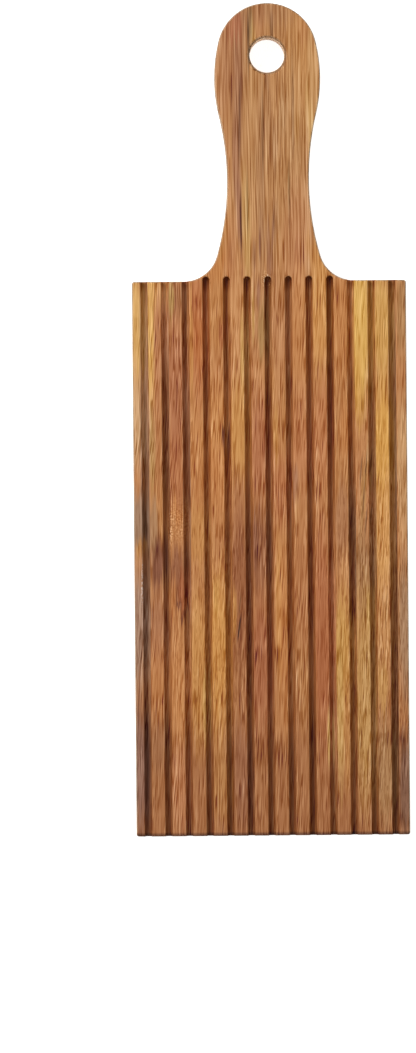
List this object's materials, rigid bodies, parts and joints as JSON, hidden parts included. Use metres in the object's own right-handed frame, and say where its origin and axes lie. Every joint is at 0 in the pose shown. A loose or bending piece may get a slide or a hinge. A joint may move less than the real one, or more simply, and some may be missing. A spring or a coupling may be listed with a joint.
{
  "type": "gnocchi board",
  "caption": "Flat wooden paddle with a grooved rectangular blade, a waisted handle and a hanging hole near its round end.",
  "frame": {"origin": "on the flat back, under the middle of the overall length and width", "axes": "+Z out of the grooved face, +Y along the handle towards its tip, +X across the blade"},
  "size_m": [0.079, 0.24, 0.012],
  "materials": {
    "oiled_hardwood": "oiled, satin"
  },
  "bodies": {
    "root": {"board": "oiled_hardwood"}
  },
  "joints": []
}
